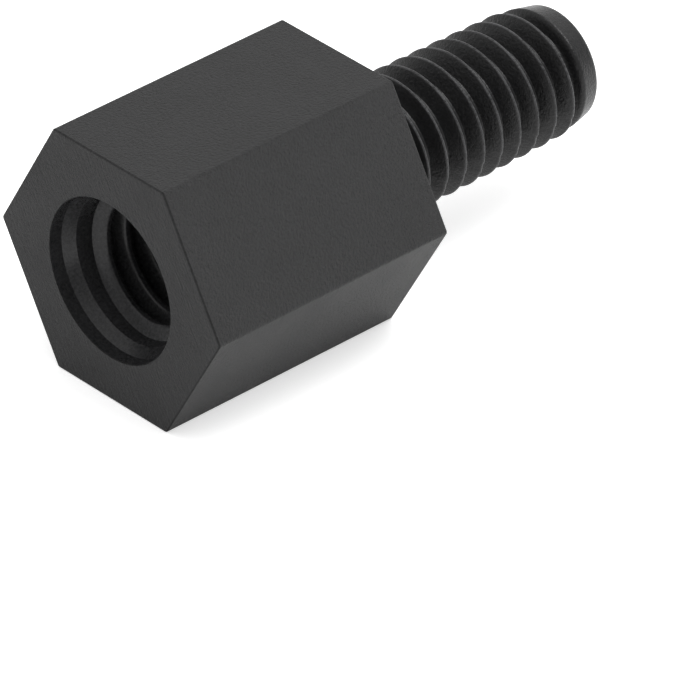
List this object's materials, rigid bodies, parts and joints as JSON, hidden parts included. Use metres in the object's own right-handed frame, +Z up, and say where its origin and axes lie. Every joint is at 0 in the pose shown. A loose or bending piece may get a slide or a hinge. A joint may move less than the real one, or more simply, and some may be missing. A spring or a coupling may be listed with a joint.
{
  "type": "hex standoff",
  "caption": "Short black nylon hex standoff: a hexagonal body with a threaded stud on one end and a threaded hole in the other.",
  "frame": {"origin": "on the axis, in the body's end face that the stud stands on, which is the middle of the length because body and stud are equally long", "axes": "+X along the axis towards the stud's tip, +Y level across two corners of the hexagon, +Z up through the middle of a flat; the opposite flat is down"},
  "size_m": [0.012, 0.0064, 0.0054],
  "materials": {
    "nylon": "fine moulded grain, glossier in the threads"
  },
  "bodies": {
    "root": {"standoff": "nylon"}
  },
  "joints": []
}
